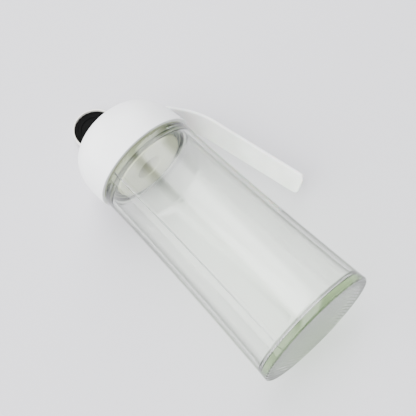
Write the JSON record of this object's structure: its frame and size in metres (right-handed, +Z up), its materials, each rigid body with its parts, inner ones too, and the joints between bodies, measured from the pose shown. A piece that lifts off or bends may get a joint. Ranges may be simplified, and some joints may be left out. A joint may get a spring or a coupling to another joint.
{
  "type": "glass water bottle",
  "caption": "Glass water bottle with a domed screw-on head, a small flip lid over its spout and a flexible carrying strap.",
  "frame": {"origin": "centre of the flat face the bottle stands on", "axes": "+Z up along the bottle's axis, +Y towards the lid hinge, +X towards the side the strap hangs on"},
  "size_m": [0.1098, 0.0808, 0.2134],
  "materials": {
    "clear_glass": "clear, faintly green where thick",
    "white_plastic": "satin",
    "inner_plastic": "satin",
    "lid_plastic": "satin",
    "black_plastic": "fine matt",
    "black_silicone": "soft",
    "white_silicone": "soft",
    "seal_silicone": "translucent",
    "steel": "drawn"
  },
  "bodies": {
    "bottle": {"glass_body": "clear_glass"},
    "gasket": {"neck_gasket": "seal_silicone"},
    "head": {"inner_collar": "inner_plastic", "dome_cover": "white_plastic", "spout": "white_plastic", "spout_seal": "seal_silicone", "hinge_pin": "steel", "strap_button": "white_plastic", "strap_retainer": "steel", "strap_root": "white_silicone"},
    "lid": {"lid_shell": "lid_plastic", "lid_insert": "black_plastic", "lid_seal": "black_silicone"},
    "strap_a": {"strap_inner": "white_silicone"},
    "strap_b": {"strap_middle": "white_silicone"},
    "strap_c": {"strap_tip": "white_silicone"}
  },
  "joints": [
    {"name": "head_lift", "type": "slide", "parent": "bottle", "child": "gasket", "axis": [0, 0, 1], "range_m": [0, 0.005]},
    {"name": "head_unscrew", "type": "hinge", "parent": "gasket", "child": "head", "pos_m": [0, 0, 0.155], "axis": [0, 0, 1], "range_deg": [0, 450]},
    {"name": "lid_hinge", "type": "hinge", "parent": "head", "child": "lid", "pos_m": [0, 0.0234, 0.1752], "axis": [1, 0, 0], "range_deg": [0, 90]},
    {"name": "strap_bend_upper", "type": "hinge", "parent": "head", "child": "strap_a", "pos_m": [0.0292, 0.00949, 0.1712], "axis": [0.309, -0.9511, 0], "range_deg": [-8, 45], "stiffness_Nm_per_rad": 0.1},
    {"name": "strap_bend_middle", "type": "hinge", "parent": "strap_a", "child": "strap_b", "pos_m": [0.04904, 0.01593, 0.14485], "axis": [0.309, -0.9511, 0], "range_deg": [-8, 45], "stiffness_Nm_per_rad": 0.1},
    {"name": "strap_bend_lower", "type": "hinge", "parent": "strap_b", "child": "strap_c", "pos_m": [0.05711, 0.01856, 0.11193], "axis": [0.309, -0.9511, 0], "range_deg": [-8, 45], "stiffness_Nm_per_rad": 0.1}
  ],
  "couplings": [
    {"joint": "head_lift", "follows": "head_unscrew", "m_per_rad": 0.00063662},
    {"joint": "strap_bend_middle", "follows": "strap_bend_upper", "ratio": 1},
    {"joint": "strap_bend_lower", "follows": "strap_bend_upper", "ratio": 1}
  ]
}
